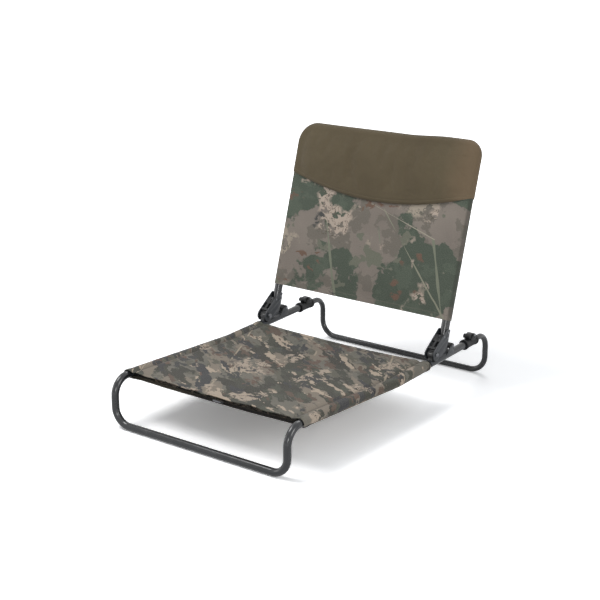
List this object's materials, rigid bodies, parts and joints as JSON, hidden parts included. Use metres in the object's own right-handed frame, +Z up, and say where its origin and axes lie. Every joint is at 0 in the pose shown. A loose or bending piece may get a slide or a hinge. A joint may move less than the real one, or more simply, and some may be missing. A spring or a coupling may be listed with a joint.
{
  "type": "folding fishing chair",
  "caption": "Low folding bank chair with a cloth seat sleeve, a padded backrest with a headrest cap, a ratchet hinge on each side and a clamped, sliding rear leg loop.",
  "frame": {"origin": "on the floor, in the middle of the chair's width and depth", "axes": "+X towards the sitter's left, +Y towards the rear leg loop, +Z up; the sitter faces -Y"},
  "size_m": [0.5746, 0.884, 0.6478],
  "materials": {
    "tube_paint": "satin",
    "bracket_paint": "satin",
    "fastener_steel": "satin",
    "black_plastic": "matte",
    "camouflage_cloth": "matte",
    "headrest_cloth": "matte"
  },
  "bodies": {
    "seat": {"seat_frame": "tube_paint", "seat_cover_upper": "camouflage_cloth", "seat_cover_lower": "camouflage_cloth", "left_seat_bracket": "bracket_paint", "left_stop_roller": "black_plastic", "left_stop_pin": "fastener_steel", "left_pivot_bolt": "fastener_steel", "left_pivot_nut": "fastener_steel", "left_outer_washer": "black_plastic", "left_inner_washer": "black_plastic", "left_clamp_body": "black_plastic", "left_clamp_bush": "black_plastic", "left_clamp_pad": "black_plastic", "left_clamp_pin": "fastener_steel", "right_seat_bracket": "bracket_paint", "right_stop_roller": "black_plastic", "right_stop_pin": "fastener_steel", "right_pivot_bolt": "fastener_steel", "right_pivot_nut": "fastener_steel", "right_outer_washer": "black_plastic", "right_inner_washer": "black_plastic", "right_clamp_body": "black_plastic", "right_clamp_bush": "black_plastic", "right_clamp_pad": "black_plastic", "right_clamp_pin": "fastener_steel"},
    "backrest": {"backrest_frame": "tube_paint", "backrest_cover": "camouflage_cloth", "headrest_cap": "headrest_cloth", "left_back_bracket": "bracket_paint", "left_inner_bracket_plate": "bracket_paint", "left_bracket_rivet_1": "fastener_steel", "left_bracket_rivet_2": "fastener_steel", "left_back_tube_plug": "black_plastic", "left_lock_pin": "fastener_steel", "right_back_bracket": "bracket_paint", "right_inner_bracket_plate": "bracket_paint", "right_bracket_rivet_1": "fastener_steel", "right_bracket_rivet_2": "fastener_steel", "right_back_tube_plug": "black_plastic", "right_lock_pin": "fastener_steel"},
    "rear_leg": {"rear_leg_frame": "tube_paint", "left_leg_glide": "black_plastic", "right_leg_glide": "black_plastic"},
    "left_lock_bar": {"left_lock_bar": "black_plastic", "left_lock_spring": "fastener_steel"},
    "left_clamp_lever": {"left_clamp_lever": "black_plastic"},
    "right_lock_bar": {"right_lock_bar": "black_plastic", "right_lock_spring": "fastener_steel"},
    "right_clamp_lever": {"right_clamp_lever": "black_plastic"}
  },
  "joints": [
    {"name": "backrest_recline", "type": "hinge", "parent": "seat", "child": "backrest", "pos_m": [0, 0.16346, 0.13395], "axis": [1, 0, 0], "range_deg": [-25, 106]},
    {"name": "rear_leg_slide", "type": "slide", "parent": "seat", "child": "rear_leg", "axis": [0, 0.9995, 0.0319], "range_m": [0, 0.2]},
    {"name": "left_clamp_lever_turn", "type": "hinge", "parent": "seat", "child": "left_clamp_lever", "pos_m": [-0.2705, 0.35675, 0.13423], "axis": [-1, 0, 0], "range_deg": [0, 110]},
    {"name": "left_lock_release", "type": "hinge", "parent": "backrest", "child": "left_lock_bar", "pos_m": [-0.2705, 0.19855, 0.17256], "axis": [-1, 0, 0], "range_deg": [0, 8], "stiffness_Nm_per_rad": 0.3, "springref_deg": -5.73},
    {"name": "right_clamp_lever_turn", "type": "hinge", "parent": "seat", "child": "right_clamp_lever", "pos_m": [0.2705, 0.35675, 0.13423], "axis": [-1, 0, 0], "range_deg": [0, 110]},
    {"name": "right_lock_release", "type": "hinge", "parent": "backrest", "child": "right_lock_bar", "pos_m": [0.2705, 0.19855, 0.17256], "axis": [-1, 0, 0], "range_deg": [0, 8], "stiffness_Nm_per_rad": 0.3, "springref_deg": -5.73}
  ]
}
